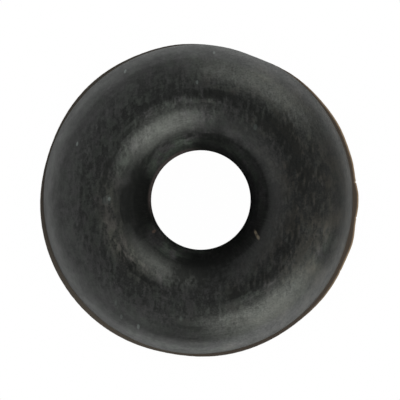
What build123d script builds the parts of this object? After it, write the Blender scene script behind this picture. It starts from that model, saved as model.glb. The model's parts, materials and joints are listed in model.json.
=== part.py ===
"""A small O-ring of black rubber, moulded in one piece and trimmed by hand round its parting line.

The origin is the centre of the bore, in the parting plane, and +Z runs along the bore. Lengths are in
millimetres, and angles in degrees, counted from +X towards +Y.
"""

import os
from math import cos, radians, sin, sqrt

from build123d import *

# the moulded ring
bore_diameter = 1.42
section_height = 1.50  # from the crown below to the crown above
rim_diameter = 4.388  # the outer edge of the rubber, without its flash
rim_offset = 0.040  # the rim's circle is this far off the bore, so the ring is thicker on one side,
rim_offset_angle = 161  # which is this one
land_height = 0.15  # the straight band that the mould's core pin leaves half-way up the bore

# the shallow flat on the rim
flat_angle = 71
flat_depth = 0.0235
flat_spread = 20  # how far it runs to each side, in degrees

# the flash, a thin skin of rubber that was squeezed out between the mould's halves
flash_thickness = 0.04

# where the flash was trimmed by hand, as (angle, how far outside the rim)
trim_cut = [
    (0, 0.088),
    (3, 0.084),
    (7, 0.064),
    (12, 0.067),
    (20, 0.065),
    (27, 0.068),
    (38, 0.050),
    (48, 0.036),
    (60, 0.016),
    (70, 0.008),
    (77, 0.013),
    (86, 0.008),
    (98, 0.024),
    (112, 0.029),
    (130, 0.047),
    (145, 0.044),
    (162, 0.032),
    (180, 0.054),
    (198, 0.069),
    (226, 0.071),
    (245, 0.055),
    (258, 0.040),
    (275, 0.053),
    (300, 0.056),
    (311, 0.059),
    (322, 0.075),
    (330, 0.077),
    (339, 0.080),
    (345, 0.090),
    (352, 0.071),
    (357, 0.085),
]

# small notches torn in the flash, as (angle, how far outside the rim each one stops, its width)
torn_notches = [(6.6, 0.046, 0.03), (333, 0.064, 0.04), (353.5, 0.060, 0.03)]

section_step = 15  # between the sections that the ring is lofted through

bore_radius = bore_diameter / 2
rim_radius = rim_diameter / 2
flash_reach = rim_radius + rim_offset + 2 * max(width for _, width in trim_cut)

# The oval sections start a little inside the bore, so deep that the bore's cut leaves a land of land_height.
oval_width = rim_radius - bore_radius
land_depth = oval_width / 2 * (1 - sqrt(1 - (land_height / section_height) ** 2))
core_radius = bore_radius - land_depth


def flat_at(angle):
    """How deep the flat on the rim is, in one direction."""
    away = abs((angle - flat_angle + 180) % 360 - 180)
    return flat_depth * cos(radians(90 * min(away / flat_spread, 1))) ** 2


def rim_at(angle):
    """How far the rim is from the bore's axis, in one direction."""
    turn = radians(angle - rim_offset_angle)
    circle = rim_offset * cos(turn) + sqrt(rim_radius**2 - (rim_offset * sin(turn)) ** 2)
    return circle - flat_at(angle)


def parting_point(radius, angle):
    """A point in the parting plane."""
    return (radius * cos(radians(angle)), radius * sin(radians(angle)))


def section_plane(angle):
    """The plane through the bore's axis that cuts the ring in one direction, its x pointing outwards."""
    turn = radians(angle)
    return Plane(origin=(0, 0, 0), x_dir=(cos(turn), sin(turn), 0), z_dir=(sin(turn), -cos(turn), 0))


def oval(angle):
    """The ring's section in one direction: always as tall, but wider where the rim is further out."""
    with BuildSketch(section_plane(angle)) as section:
        with Locations(((core_radius + rim_at(angle)) / 2, 0)):
            Ellipse((rim_at(angle) - core_radius) / 2, section_height / 2)
    return section.sketch


def flash_sheet():
    """The flash before it is trimmed, rooted half-way into the rubber."""
    with BuildSketch() as sheet:
        Circle(flash_reach)
        Circle((bore_radius + rim_radius) / 2, mode=Mode.SUBTRACT)
    return sheet.sketch


def trimmed_outline():
    """What the freehand trimming cut left, which is all that lies inside it."""
    with BuildSketch() as outline:
        with BuildLine():
            knots = [parting_point(rim_at(angle) + width, angle) for angle, width in trim_cut]
            Spline(*knots, periodic=True)
        make_face()
    return outline.sketch


def torn_slots():
    """The notches torn in the flash, each a round-ended slot that runs outwards."""
    with BuildSketch() as slots:
        for angle, stop, width in torn_notches:
            middle = parting_point(rim_at(angle) + stop + rim_radius / 2, angle)
            with Locations(Location((*middle, 0), angle)):
                SlotOverall(rim_radius, width)
    return slots.sketch


with BuildPart() as o_ring:
    # the moulded rubber, as two half rings
    for start in (0, 180):
        loft([oval(angle) for angle in range(start, start + 181, section_step)])
    # the flash round the rim, and the cut that trimmed it
    extrude(flash_sheet(), amount=flash_thickness / 2, both=True)
    extrude(trimmed_outline(), amount=section_height, both=True, mode=Mode.INTERSECT)
    extrude(torn_slots(), amount=flash_thickness, both=True, mode=Mode.SUBTRACT)
    # the land in the bore
    Cylinder(bore_radius, 2 * section_height, mode=Mode.SUBTRACT)

o_ring.part.label = "o_ring"

os.makedirs("parts", exist_ok=True)
export_step(o_ring.part, "parts/o_ring.step")
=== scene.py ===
import json
import math

import bpy
import numpy as np
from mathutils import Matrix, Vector


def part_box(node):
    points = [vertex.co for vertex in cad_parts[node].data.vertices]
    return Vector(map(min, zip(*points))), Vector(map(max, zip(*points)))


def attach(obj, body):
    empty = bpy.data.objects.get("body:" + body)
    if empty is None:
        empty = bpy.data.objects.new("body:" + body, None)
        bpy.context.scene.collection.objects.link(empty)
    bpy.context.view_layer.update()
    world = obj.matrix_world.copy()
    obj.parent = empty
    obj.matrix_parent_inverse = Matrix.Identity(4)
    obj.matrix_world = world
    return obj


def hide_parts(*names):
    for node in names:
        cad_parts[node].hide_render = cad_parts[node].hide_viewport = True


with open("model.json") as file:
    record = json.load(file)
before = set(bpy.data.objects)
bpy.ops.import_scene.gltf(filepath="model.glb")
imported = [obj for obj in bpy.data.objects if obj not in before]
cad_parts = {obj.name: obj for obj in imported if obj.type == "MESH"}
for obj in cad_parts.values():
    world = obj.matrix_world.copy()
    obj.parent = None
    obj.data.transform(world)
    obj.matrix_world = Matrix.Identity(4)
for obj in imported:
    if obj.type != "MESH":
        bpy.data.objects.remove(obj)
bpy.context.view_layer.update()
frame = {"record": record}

mm = 0.001
lowCorner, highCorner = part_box("o_ring")


def cosine(angle):
    return math.cos(math.radians(angle))


class Wire:  # a socket that takes part in sums
    def __init__(self, paint, socket):
        self.paint, self.socket = paint, socket

    def math(self, operation, *others):
        return self.paint.node("Math", {"operation": operation}, [self, *others])

    def __add__(self, other):
        return self.math("ADD", other)

    def __sub__(self, other):
        return self.math("SUBTRACT", other)

    def __rsub__(self, other):
        return self.paint.node("Math", {"operation": "SUBTRACT"}, [other, self])

    def __mul__(self, other):
        return self.math("MULTIPLY", other)

    def __truediv__(self, other):
        return self.math("DIVIDE", other)

    def __rtruediv__(self, other):
        return self.paint.node("Math", {"operation": "DIVIDE"}, [other, self])

    __radd__ = __add__
    __rmul__ = __mul__


class Paint:  # the nodes of a material or a world
    def __init__(self, owner):
        owner.use_nodes = True
        self.tree = owner.node_tree

    def node(self, kind, settings=None, sockets=(), output=0):
        made = self.tree.nodes.new("ShaderNode" + kind)
        for name, value in (settings or {}).items():
            setattr(made, name, value)
        self.feed(made, sockets)
        return Wire(self, made.outputs[output])

    def feed(self, node, sockets):
        pairs = sockets.items() if isinstance(sockets, dict) else enumerate(sockets)
        for name, value in pairs:
            if isinstance(value, Wire):
                self.tree.links.new(value.socket, node.inputs[name])
            else:
                node.inputs[name].default_value = value

    def noise(self, place, scale, detail=2, roughness=0.5, lift=(0, 0, 0)):  # 0 to 1 about a half
        moved = self.node("VectorMath", {"operation": "ADD"}, [place, lift])
        sockets = {"Vector": moved, "Scale": scale, "Detail": detail, "Roughness": roughness}
        return self.node("TexNoise", {}, sockets)

    def fade(self, value, start, end):  # 0 before start, 1 after end, smooth between
        sockets = {"Value": value, "From Min": start, "From Max": end}
        return self.node("MapRange", {"interpolation_type": "SMOOTHSTEP"}, sockets)

    def apart(self, vector):  # the three parts of a vector
        parts = self.node("SeparateXYZ", {}, [vector]).socket.node.outputs
        return [Wire(self, part) for part in parts]

    def mix(self, share, first, second):
        return self.node("Mix", {"data_type": "RGBA"}, {0: share, 6: first, 7: second}, 2)


# the ring's shape, in millimetres and degrees, as in the part's own drawing
ring = {
    "boreRadius": frame["record"]["mounts"][0]["dims"]["r_mm"],
    "halfHeight": min(highCorner[2], -lowCorner[2]) / mm,
    "rimRadius": 2.194,
    "rimOffset": 0.040,  # how far the rim's circle sits off the bore
    "rimOffsetAngle": 161,
    "flat": (71, 0.0235, 20),  # the shallow flat on the rim: its angle, depth and reach to each side
    "landHeight": 0.15,
    "flashThickness": 0.04,
    "flashEdge": 0.03,  # the flash thins out to this
    "trimCut": [  # where the flash was trimmed: angle, distance outside the rim
        (0, 0.088), (3, 0.084), (7, 0.064), (12, 0.067), (20, 0.065), (27, 0.068), (38, 0.050), (48, 0.036),
        (60, 0.016), (70, 0.008), (77, 0.013), (86, 0.008), (98, 0.024), (112, 0.029), (130, 0.047),
        (145, 0.044), (162, 0.032), (180, 0.054), (198, 0.069), (226, 0.071), (245, 0.055), (258, 0.040),
        (275, 0.053), (300, 0.056), (311, 0.059), (322, 0.075), (330, 0.077), (339, 0.080), (345, 0.090),
        (352, 0.071), (357, 0.085),
    ],
    "notches": [  # torn out of the flash: angle, distance outside the rim, width
        (6.6, 0.054, 0.03),
        (333, 0.070, 0.04),
        (353.5, 0.066, 0.03),
    ],
    "wobble": 0.0003,  # the trimmed edge's own unevenness
    "stepsRound": 700,
    "stepsHalfSection": 58,
    "stepsFlash": 6,
}


def rimAt(angle):  # how far out the rim is, for an array of angles in radians
    turn = angle - math.radians(ring["rimOffsetAngle"])
    aside = ring["rimOffset"] * np.sin(turn)
    circle = ring["rimOffset"] * np.cos(turn) + np.sqrt(ring["rimRadius"] ** 2 - aside**2)
    middle, depth, reach = ring["flat"]
    away = np.abs((np.degrees(angle) - middle + 180) % 360 - 180) / reach
    return circle - depth * np.cos(np.minimum(away, 1) * np.pi / 2) ** 2


def trimAt(angle):  # how far out the trimming cut runs: a periodic cubic through the knots
    knots = np.radians([knot[0] for knot in ring["trimCut"]])
    widths = np.array([knot[1] for knot in ring["trimCut"]])
    count = len(knots)
    gap = np.diff(np.append(knots, knots[0] + 2 * np.pi))
    rise = np.roll(widths, -1) - widths
    system = np.zeros((count, count))
    target = np.zeros(count)
    for i in range(count):
        before, after = (i - 1) % count, (i + 1) % count
        system[i, before] += gap[i]
        system[i, i] += 2 * (gap[i] + gap[before])
        system[i, after] += gap[before]
        target[i] = 3 * (gap[before] * rise[i] / gap[i] + gap[i] * rise[before] / gap[before])
    slope = np.linalg.solve(system, target)
    spot = np.searchsorted(knots, angle % (2 * np.pi), side="right") - 1
    t = (angle % (2 * np.pi) - knots[spot]) / gap[spot]
    after = (spot + 1) % count
    width = (
        (2 * t**3 - 3 * t**2 + 1) * widths[spot]
        + (t**3 - 2 * t**2 + t) * gap[spot] * slope[spot]
        + (3 * t**2 - 2 * t**3) * widths[after]
        + (t**3 - t**2) * gap[spot] * slope[after]
    )
    waves = np.random.default_rng(5)
    for lobes in range(40, 150, 7):
        wave = 0.5 + 0.5 * np.sin(lobes * angle + waves.uniform(0, 6.28))
        width = width - ring["wobble"] * wave**3
    for middle, stop, wide in ring["notches"]:
        away = np.abs((np.degrees(angle) - middle + 180) % 360 - 180) * math.radians(ring["rimRadius"])
        torn = stop + wide / 2 - np.sqrt(np.maximum((wide / 2) ** 2 - away**2, 0))
        width = np.where(away < wide / 2, np.minimum(width, torn), width)
    return rimAt(angle) + width


def stepsAt():  # even steps round the ring, closer together at the notches
    extra = [np.radians(middle + np.linspace(-1, 1, 13) * wide * 20) for middle, _, wide in ring["notches"]]
    even = np.arange(ring["stepsRound"]) * 2 * np.pi / ring["stepsRound"]
    every = np.unique(np.concatenate([even, *extra]))
    return every[np.append(np.diff(every) > math.radians(0.1), True)]


def ringMesh():
    angle = stepsAt()
    steps = len(angle)
    high = ring["halfHeight"]
    outer = rimAt(angle)
    trim = trimAt(angle)
    landShare = ring["landHeight"] / 2 / high
    landDepth = (ring["rimRadius"] - ring["boreRadius"]) / 2 * (1 - math.sqrt(1 - landShare**2))
    inner = ring["boreRadius"] - landDepth
    middle, half = (inner + outer) / 2, (outer - inner) / 2
    root = ring["flashThickness"] / 2
    rootTurn = math.asin(root / high)

    upper = []
    for turn in np.linspace(math.pi, rootTurn, ring["stepsHalfSection"]):  # bore, crown, rim
        out = np.clip(middle + half * math.cos(turn), ring["boreRadius"], trim)
        upper.append((out, np.full(steps, high * math.sin(turn))))
    start = np.minimum(middle + half * math.cos(rootTurn), trim - 0.001)
    for share in np.linspace(0, 1, ring["stepsFlash"] + 1)[1:]:  # out along the flash
        thick = root + (ring["flashEdge"] / 2 - root) * share
        upper.append((start + (trim - start) * share, np.full(steps, thick)))
    lower = [(out, -up) for out, up in reversed(upper)]
    rows = upper + lower[:-1]
    out = np.array([row[0] for row in rows])
    up = np.array([row[1] for row in rows])
    points = np.stack([out * np.cos(angle), out * np.sin(angle), up], axis=-1) * mm

    count = len(rows)
    index = np.arange(count * steps).reshape(count, steps)
    right, above = np.roll(index, -1, axis=1), np.roll(index, -1, axis=0)
    faces = np.stack([index, right, np.roll(right, -1, axis=0), above], axis=-1).reshape(-1, 4)
    mesh = bpy.data.meshes.new("o_ring_rubber")
    mesh.from_pydata(points.reshape(-1, 3).tolist(), [], faces.tolist())
    mesh.polygons.foreach_set("use_smooth", [True] * len(mesh.polygons))
    mesh.attributes.new("fromEdge", "FLOAT", "POINT").data.foreach_set("value", (trim - out).ravel())

    across = np.arange(count + 1) / count  # the bake's layout: once round the ring, once round the section
    along = np.append(angle, angle[0] + 2 * np.pi) / (2 * np.pi)
    u, v = np.meshgrid(along, across)
    corners = [np.s_[:-1, :-1], np.s_[:-1, 1:], np.s_[1:, 1:], np.s_[1:, :-1]]
    spread = np.array([[u[corner].ravel(), v[corner].ravel()] for corner in corners])
    layer = mesh.uv_layers.new(name="OFBake")
    layer.data.foreach_set("uv", spread.transpose(2, 0, 1).ravel())
    mesh.update()
    return mesh


rubber = {
    "colour": (0.0045, 0.0047, 0.0047, 1),
    "filmColour": (0.055, 0.062, 0.056, 1),  # dry bloom and dust on the rubber
    "violetColour": (0.062, 0.058, 0.063, 1),
    "earthColour": (0.074, 0.063, 0.052, 1),  # browner dust
    "flashColour": (0.064, 0.053, 0.045, 1),  # the thin flash has perished to brown,
    "brownColour": (0.048, 0.036, 0.030, 1),  # painted darker on the right, as shade,
    "tanColour": (0.210, 0.148, 0.102, 1),  # and to tan at its edge there
    "landColour": (0.078, 0.060, 0.061, 1),
    "fleckColour": (0.21, 0.24, 0.24, 1),
    "fibreColour": (0.14, 0.115, 0.085, 1),
    "crumbColour": (0.105, 0.070, 0.058, 1),
    "roughness": 0.55,
    "specular": 0.10,
    "polish": 0.8,
    "polishRoughness": 0.2,
    "bump": 0.25,
    "stains": [  # dark, dull arcs, stains and painted shade that holds back the lamps' reflections: azimuth, half angle, distance from the axis, half width, strength
        (-133, 11, 1.308, 0.040, 1.0),
        (150, 22, 1.350, 0.045, 0.45),
        (50, 40, 1.430, 0.080, 0.55),
        (108, 26, 1.465, 0.040, 0.35),
        (85, 2.2, 1.416, 0.045, 0.8),
        (-44, 24, 1.330, 0.075, 0.6),
        (-36, 14, 1.440, 0.025, 0.5),
        (-70, 8, 1.380, 0.050, 0.3),
        (-95, 12, 1.240, 0.050, 0.3),
        (20, 24, 1.58, 0.18, 0.4),
        (18, 20, 1.355, 0.050, 0.4),
        (48, 20, 1.36, 0.09, 0.4),
        (44, 26, 1.20, 0.11, 0.28),
        (180, 30, 0.92, 0.10, 0.9),
        (-176, 12, 1.06, 0.07, 0.8),
        (-86, 22, 0.93, 0.12, 0.7),
        (-98, 12, 0.90, 0.07, 0.9),
        (-93, 18, 1.09, 0.12, 0.8),
        (122, 28, 0.93, 0.05, 0.65),
        (79, 16, 0.80, 0.09, 0.7),
        (76, 10, 0.900, 0.040, 0.4),
        (102, 7, 0.780, 0.025, 0.3),
        (134, 10, 1.050, 0.050, 0.15),
        (150, 12, 1.060, 0.070, 0.3),
        (-30, 38, 1.12, 0.16, 0.32),
        (-88, 17, 1.820, 0.120, 0.42),
        (-105, 24, 1.915, 0.050, 0.22),
        (140, 34, 1.915, 0.045, 0.22),
        (12, 28, 2.020, 0.060, 0.28),
        (22, 24, 1.895, 0.100, 0.36),
    ],
    "dustings": [  # paler arcs, the same way: dust, and painted light on the inner wall where the lamps face it
        (124, 26, 0.835, 0.11, 0.45),
        (-130, 20, 0.810, 0.11, 0.34),
        (-116, 12, 0.850, 0.05, 0.34),
        (104, 9, 0.865, 0.05, 0.28),
        (-95, 14, 0.730, 0.03, 0.20),
        (-132, 26, 1.205, 0.050, 0.25),
        (146, 18, 1.190, 0.070, 0.25),
        (180, 8, 1.260, 0.050, 0.08),
        (-97, 22, 2.10, 0.07, 0.22),
        (96, 45, 1.93, 0.09, 0.12),
        (-155, 12, 1.30, 0.10, 0.24),
        (108, 26, 1.370, 0.045, 0.20),
        (30, 60, 0.77, 0.07, 0.10),
        (40, 50, 0.84, 0.06, 0.18),
        (56, 14, 0.985, 0.06, 0.20),
        (90, 8, 0.970, 0.05, 0.20),
        (90, 9, 1.12, 0.11, 0.35),
        (-57, 9, 1.455, 0.040, 0.30),
        (-22, 8, 1.78, 0.07, 0.24),
    ],
    "earthArc": (-158, 34, 1.24, 0.18, 0.45),  # and a browner one
    "fibre": [  # a hair, bright at its ends: x, y, half length, half width, tilt, strength
        (0.765, -0.478, 0.082, 0.022, -70, 0.45),
        (0.751, -0.446, 0.026, 0.018, -70, 0.5),
        (0.786, -0.510, 0.034, 0.022, -65, 0.5),
    ],
    "crumb": [(-0.652, -0.436, 0.030, 0.024, 40, 0.5)],
    "fleck": [  # specks of dust, the same way
        (-1.042, 1.770, 0.036, 0.018, 76, 0.40),
        (-1.680, 0.762, 0.034, 0.016, 80, 0.35),
        (-1.239, 0.015, 0.030, 0.022, 80, 0.20),
        (-1.270, 0.000, 0.080, 0.060, 60, 0.06),
        (0.182, 2.030, 0.028, 0.018, 85, 0.25),
        (-0.051, 1.589, 0.032, 0.019, 88, 0.18),
        (0.735, 0.984, 0.046, 0.030, 80, 0.09),
        (-1.152, -1.395, 0.040, 0.020, 85, 0.07),
        (-1.086, -1.595, 0.040, 0.020, 85, 0.11),
        (-0.855, -1.729, 0.042, 0.022, 85, 0.20),
        (-0.270, -1.600, 0.040, 0.022, 85, 0.08),
    ],
}


def toward(bearing, azimuth):  # 1 at an azimuth, -1 on the far side
    return (bearing - math.radians(azimuth)).math("COSINE")


def arcMask(paint, place, spec, ragged):  # one stain or patch of painted shade, or one dusting or patch of painted light
    bearing, out = place
    azimuth, halfAngle, reach, width, strength = spec
    arc = paint.fade(toward(bearing, azimuth), cosine(halfAngle * 1.3 + 3), cosine(halfAngle * 0.7))
    away = (out - reach + ragged).math("ABSOLUTE")
    return strength * arc * (1 - paint.fade(away, width * 0.4, width * 1.4))


def fleckMask(paint, x, y, spec):  # one speck, an oval with a soft edge
    left, low, long, wide, tilt, strength = spec
    run, rise = cosine(tilt), math.sin(math.radians(tilt))
    along = ((x - left) * run + (y - low) * rise) / long
    aside = ((y - low) * run - (x - left) * rise) / wide
    return strength * (1 - paint.fade(along * along + aside * aside, 0.3, 1.2))


def rubberMaterial():
    material = bpy.data.materials.new("black_rubber")
    paint = Paint(material)
    shader = paint.tree.nodes["Principled BSDF"]
    metres = paint.node("TexCoord", output="Object")
    place = paint.node("VectorMath", {"operation": "SCALE"}, {"Vector": metres, "Scale": 1 / mm})
    x, y, z = paint.apart(place)
    out = (x * x + y * y).math("SQRT")
    bearing = y.math("ARCTAN2", x)
    rim = ring["rimRadius"] + ring["rimOffset"] * toward(bearing, ring["rimOffsetAngle"])
    middle = (rim + ring["boreRadius"]) / 2
    half = (rim - ring["boreRadius"]) / 2
    across = (out - middle) / half  # -1 at the bore, 0 on the crown, 1 at the rim
    turn = (z / ring["halfHeight"]).math("ARCTAN2", across)  # round the section, from the rim
    top = paint.fade(z, -0.05, 0.05)

    tilted, leaning = (0, 0, math.radians(12)), (0, 0, math.radians(10))
    wiped = paint.node("Mapping", {}, {"Vector": place, "Rotation": tilted, "Scale": (1, 0.55, 1)})
    combed = paint.node("Mapping", {}, {"Vector": place, "Rotation": leaning, "Scale": (1, 0.25, 1)})
    ringwise = paint.node("CombineXYZ", {}, [x / out * 1.8, y / out * 1.8, turn * 7])
    spokewise = paint.node("CombineXYZ", {}, [x / out * 9, y / out * 9, turn * 1.1])

    grain = paint.noise(wiped, 30, 1, 0.5) - 0.5
    grit = paint.noise(place, 48, 0, 0.5, (3, 3, 5)) - 0.5
    mottle = paint.noise(wiped, 9, 4, 0.68, (4, 1, 7)) - 0.5
    cloud = paint.noise(place, 3.2, 3, 0.55, (1, 8, 3)) - 0.5
    dashes = paint.noise(combed, 24, 1, 0.5, (2, 5, 1)) - 0.5
    blobs = paint.noise(wiped, 17, 1, 0.5, (7, 3, 2)) - 0.5
    lines = paint.noise(ringwise, 3.1, 3, 0.55) - 0.5
    spokes = paint.noise(spokewise, 5.5, 3, 0.6) - 0.5

    crown = 1 - paint.fade(across.math("ABSOLUTE"), 0.2, 0.6)
    bore = 1 - paint.fade(across, -0.8, -0.3)
    inner = 1 - paint.fade(across, -0.7, -0.5)
    edge = paint.fade(across, 0.80, 0.965) * (1 - 0.4 * paint.fade(toward(bearing, 88), 0.75, 0.98))
    rough = 0.5 + 0.8 * crown  # where the surface is most uneven

    ragged = lines * 0.10 + mottle * 0.12
    # dark: stains and painted shade, with the crown's blotches
    dark = 0
    for spec in rubber["stains"]:
        dark = dark + arcMask(paint, (bearing, out), spec, ragged)
    blotch = paint.fade(mottle + 0.6 * cloud + 0.3 * lines - 0.5 * dashes, -0.15, 0.20)
    dark = (dark * top * (0.45 + blotch) + 0.5 * crown * blotch).math("MINIMUM", 1)
    # pale: dust, and painted light where the lamps face the inner wall
    pale = 0
    for spec in rubber["dustings"]:
        pale = pale + arcMask(paint, (bearing, out), spec, ragged)

    uneven = 4.5 * mottle + 1.2 * grain + 1.8 * cloud + (2.2 * lines + 1.2 * dashes + 2.5 * blobs) * crown
    broken = (2.1 * rough * uneven).math("TANH")
    film = (0.155 - 0.115 * bore + 0.5 * spokes * bore) * (1 + 0.95 * broken + (0.9 + 0.9 * crown) * grit)
    film = (film + pale * top * (1 + 0.6 * broken + 0.5 * grit)) * (1 - 0.85 * dark)
    earth = paint.fade(0.6 * cloud + 0.3 * lines + 0.2 * bearing.math("COSINE"), 0.02, 0.3) * (1 - bore)
    earth = earth.math("MAXIMUM", arcMask(paint, (bearing, out), rubber["earthArc"], ragged))
    violet = paint.fade(paint.noise(wiped, 6, 2, 0.6, (9, 4, 2)), 0.38, 0.62)
    dust = paint.mix(violet, rubber["filmColour"], rubber["violetColour"])
    dust = paint.mix(earth, dust, rubber["earthColour"])
    colour = paint.mix(film.math("MAXIMUM", 0), rubber["colour"], dust)

    height = z.math("ABSOLUTE")
    flash = paint.fade(out - rim, -0.020, 0.004) * (1 - paint.fade(height, 0.04, 0.15))
    # painted shade: the flash's brown is darker on its right side
    right = paint.fade(bearing.math("COSINE"), -0.7, 0.4)
    brown = paint.mix(right, rubber["flashColour"], rubber["brownColour"])
    fromEdge = paint.node("Attribute", {"attribute_name": "fromEdge"}, output="Fac")
    thin = 1 - paint.fade(fromEdge, 0.008, 0.030)
    tan = paint.fade(toward(bearing, 5), 0.5, 0.95) * thin * paint.fade(z, -0.008, 0.012)
    colour = paint.mix(flash, colour, paint.mix(tan, brown, rubber["tanColour"]))
    reddish = paint.fade(toward(bearing, 147), 0.5, 0.9)
    land = 0.75 * reddish * (1 - paint.fade(across, -0.99, -0.94)) * (1 - paint.fade(height, 0.18, 0.34))
    colour = paint.mix(land, colour, rubber["landColour"])
    for kind in ["fleck", "fibre", "crumb"]:
        cover = 0
        for spec in rubber[kind]:
            cover = cover + fleckMask(paint, x, y, spec)
        colour = paint.mix((cover * top).math("MINIMUM", 1), colour, rubber[kind + "Colour"])

    patchy = 1 + 0.9 * rough * (mottle + 0.4 * grain) + 0.7 * cloud + 0.8 * grit
    polish = rubber["polish"] * (1 - 0.8 * dark) * (1 - 0.9 * flash) * patchy
    polish = polish * (1 - 0.45 * inner) * (1 - 0.65 * edge)
    roughness = rubber["roughness"] + 0.10 * lines * rough

    relief = 0.6 * mottle * rough + 0.2 * grain + 0.5 * lines * rough
    bump = paint.node("Bump", {}, {"Strength": rubber["bump"], "Distance": 0.01 * mm, "Height": relief})
    paint.feed(shader, {
        "Base Color": colour,
        "Roughness": roughness,
        "Specular IOR Level": rubber["specular"],
        "Coat Weight": polish,
        "Coat Roughness": rubber["polishRoughness"],
        "Normal": bump,
    })
    print("rubber painted:", len(paint.tree.nodes), "nodes")
    return material


body = bpy.data.objects.new("o_ring_rubber", ringMesh())
bpy.context.collection.objects.link(body)
body.data.materials.append(rubberMaterial())
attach(body, "root")
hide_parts("o_ring")
print("ring made:", len(body.data.polygons), "faces")


studio = {
    "viewWidth": 5.6925,  # millimetres across the view, at the parting plane
    "lens": 90,
    "offCentre": (0.0122, 0.0),  # where the bore's axis stands in the view, from its middle
    "lampTint": (0.955, 1.0, 0.90),
    "roomTint": (0.98, 1, 0.985),
    "lamps": [  # name, azimuth, angle from the vertical, width, height, strength
        ("key", -57, 48, 45, 32, 2.6),
        ("fill", 58, 50, 24, 28, 2.5),
    ],
    "lampDistance": 200,
    "zenith": 0.3,  # the light from straight above
    "sides": (190, 60, 50, 33, 10, 0.38),  # and from round about: azimuth, half width, edge, top, edge, strength
    "glows": [  # the lamps' soft cloth: azimuth, half width, edge, top, edge, bottom, edge, strength
        (-58, 13, 22, 7, 4, 180, 1, 0.8),
        (-58, 13, 21, 28, 6, 180, 1, 0.8),
        (-60, 13, 20, 30, 6, 72, 14, 1.70),
        (62, 12, 24, 33, 18, 180, 1, 1.0),
        (62, 12, 24, 33, 18, 72, 14, 0.75),
        (-22, 6, 18, 42, 8, 68, 12, 0.32),
    ],
    "floorColour": 0.8,
    "floorGlow": 0.78,
    "floorLit": [  # azimuth, half width, edge, 1 if it starts some way off, strength
        (5, 20, 50, 0, -0.05),
        (5, 20, 50, 1, -0.30),
        (-56, 14, 22, 0, 0.10),
        (-56, 14, 22, 1, 0.70),
        (60, 18, 28, 1, 0.25),
    ],
    "cameraShadow": 0.01,
    "mirrorShadow": 1.9,
    "shadowReach": 10,
}


def aim(azimuth, lean):  # the direction at an azimuth and an angle from the vertical
    turn, tip = math.radians(azimuth), math.radians(lean)
    return Vector((math.sin(tip) * math.cos(turn), math.sin(tip) * math.sin(turn), math.cos(tip)))


def facing(paint, x, y, azimuth, half, edge):  # 1 towards an azimuth, 0 away from it
    level = (x * x + y * y + 1e-9).math("SQRT")
    turn = math.radians(azimuth)
    share = (x * math.cos(turn) + y * math.sin(turn)) / level
    return paint.fade(share, cosine(min(half + edge, 180)), cosine(max(half - edge, 0)))


def makeFloor():
    mesh = bpy.data.meshes.new("floor")
    size, low = 0.4, lowCorner[2]
    corners = [(-size, -size, low), (size, -size, low), (size, size, low), (-size, size, low)]
    mesh.from_pydata(corners, [], [(0, 1, 2, 3)])
    floor = bpy.data.objects.new("floor", mesh)
    bpy.context.collection.objects.link(floor)
    material = bpy.data.materials.new("pale_floor")
    paint = Paint(material)
    shader = paint.tree.nodes["Principled BSDF"]
    shade = studio["floorColour"]
    paint.feed(shader, {"Base Color": (shade, shade, shade, 1), "Roughness": 0.9, "Specular IOR Level": 0.0})
    rays = paint.node("LightPath").socket.node.outputs
    kinds = ["Is Camera Ray", "Is Glossy Ray", "Is Transmission Ray"]
    camera, glossy, through = (Wire(paint, rays[kind]) for kind in kinds)
    x, y, _ = paint.apart(paint.node("TexCoord", output="Object"))
    reach = {"Distance": studio["shadowReach"] * mm}
    clear = paint.node("AmbientOcclusion", {"samples": 8}, reach, "AO")  # how open the floor is to the room
    away = (x * x + y * y).math("SQRT")
    far = paint.fade(away, 2 * mm, 9 * mm)
    lit = studio["floorGlow"]
    for azimuth, half, edge, starts, strength in studio["floorLit"]:
        lit = lit + strength * (far if starts else 1) * facing(paint, x, y, azimuth, half, edge)
    mirrored = (lit * (1 - studio["mirrorShadow"] * (1 - clear))).math("MAXIMUM", 0)
    near = 1 - paint.fade(away, 2.2 * mm, 3.2 * mm)
    seen = 1 - studio["cameraShadow"] * near * (1 - clear)
    parts = [seen * (1 - glossy) + mirrored * glossy * tint for tint in studio["roomTint"]]
    white = paint.node("Emission", {}, {"Color": paint.node("CombineXYZ", {}, parts), "Strength": 1})
    matt = Wire(paint, shader.outputs[0])
    mixed = paint.node("MixShader", {}, {0: camera + glossy + through, 1: matt, 2: white})
    paint.tree.links.new(mixed.socket, paint.tree.nodes["Material Output"].inputs[0])
    mesh.materials.append(material)


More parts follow.
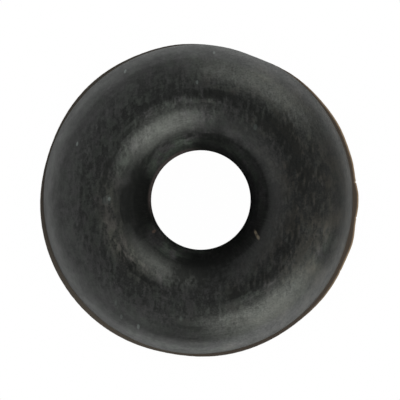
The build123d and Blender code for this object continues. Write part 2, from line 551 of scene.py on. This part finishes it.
def makeLamps():
    for name, azimuth, lean, width, height, strength in studio["lamps"]:
        away = aim(azimuth, lean)
        lamp = bpy.data.lights.new(name, "AREA")
        lamp.shape = "RECTANGLE"
        lamp.color = studio["lampTint"]
        distance = studio["lampDistance"] * mm
        lamp.size = 2 * distance * math.tan(math.radians(width / 2))
        lamp.size_y = 2 * distance * math.tan(math.radians(height / 2))
        lamp.energy = strength * math.pi * lamp.size * lamp.size_y  # so that its face is as bright as strength
        holder = bpy.data.objects.new(name, lamp)
        holder.location = away * distance
        holder.rotation_euler = (-away).to_track_quat("-Z", "Y").to_euler()
        holder.visible_glossy = False  # the world's glows are what shows in the rubber
        bpy.context.collection.objects.link(holder)


def makeWorld():
    world = bpy.data.worlds.new("studio")
    paint = Paint(world)
    x, y, up = paint.apart(paint.node("TexCoord", output="Generated"))
    azimuth, half, edge, top, topEdge, strength = studio["sides"]
    low = 1 - paint.fade(up, cosine(top + topEdge), cosine(top - topEdge))
    plain = studio["zenith"] + strength * low * facing(paint, x, y, azimuth, half, edge)
    tinted = 0
    for azimuth, half, edge, top, topEdge, bottom, bottomEdge, strength in studio["glows"]:
        above = paint.fade(up, cosine(top + topEdge), cosine(max(top - topEdge, 0)))
        glow = facing(paint, x, y, azimuth, half, edge) * (1 - above)
        if bottom < 90:
            glow = glow * paint.fade(up, cosine(bottom + bottomEdge), cosine(bottom - bottomEdge))
        tinted = tinted + strength * glow
    camera = paint.node("LightPath")
    tints = zip(studio["roomTint"], studio["lampTint"])
    parts = [(plain * roomTint + tinted * lampTint) * (1 - camera) + camera for roomTint, lampTint in tints]
    paint.feed(paint.tree.nodes["Background"], {"Color": paint.node("CombineXYZ", {}, parts), "Strength": 1})
    bpy.context.scene.world = world


def makeCamera():
    camera = bpy.data.cameras.new("camera")
    camera.lens = studio["lens"]
    camera.sensor_width = 36
    camera.clip_start, camera.clip_end = 0.002, 10
    holder = bpy.data.objects.new("camera", camera)
    distance = studio["viewWidth"] * mm * studio["lens"] / camera.sensor_width
    holder.location = (-studio["offCentre"][0] * mm, -studio["offCentre"][1] * mm, distance)
    bpy.context.collection.objects.link(holder)
    bpy.context.scene.camera = holder
    bpy.context.scene.view_settings.view_transform = "Standard"


makeFloor()
makeLamps()
makeWorld()
makeCamera()
print("studio made")
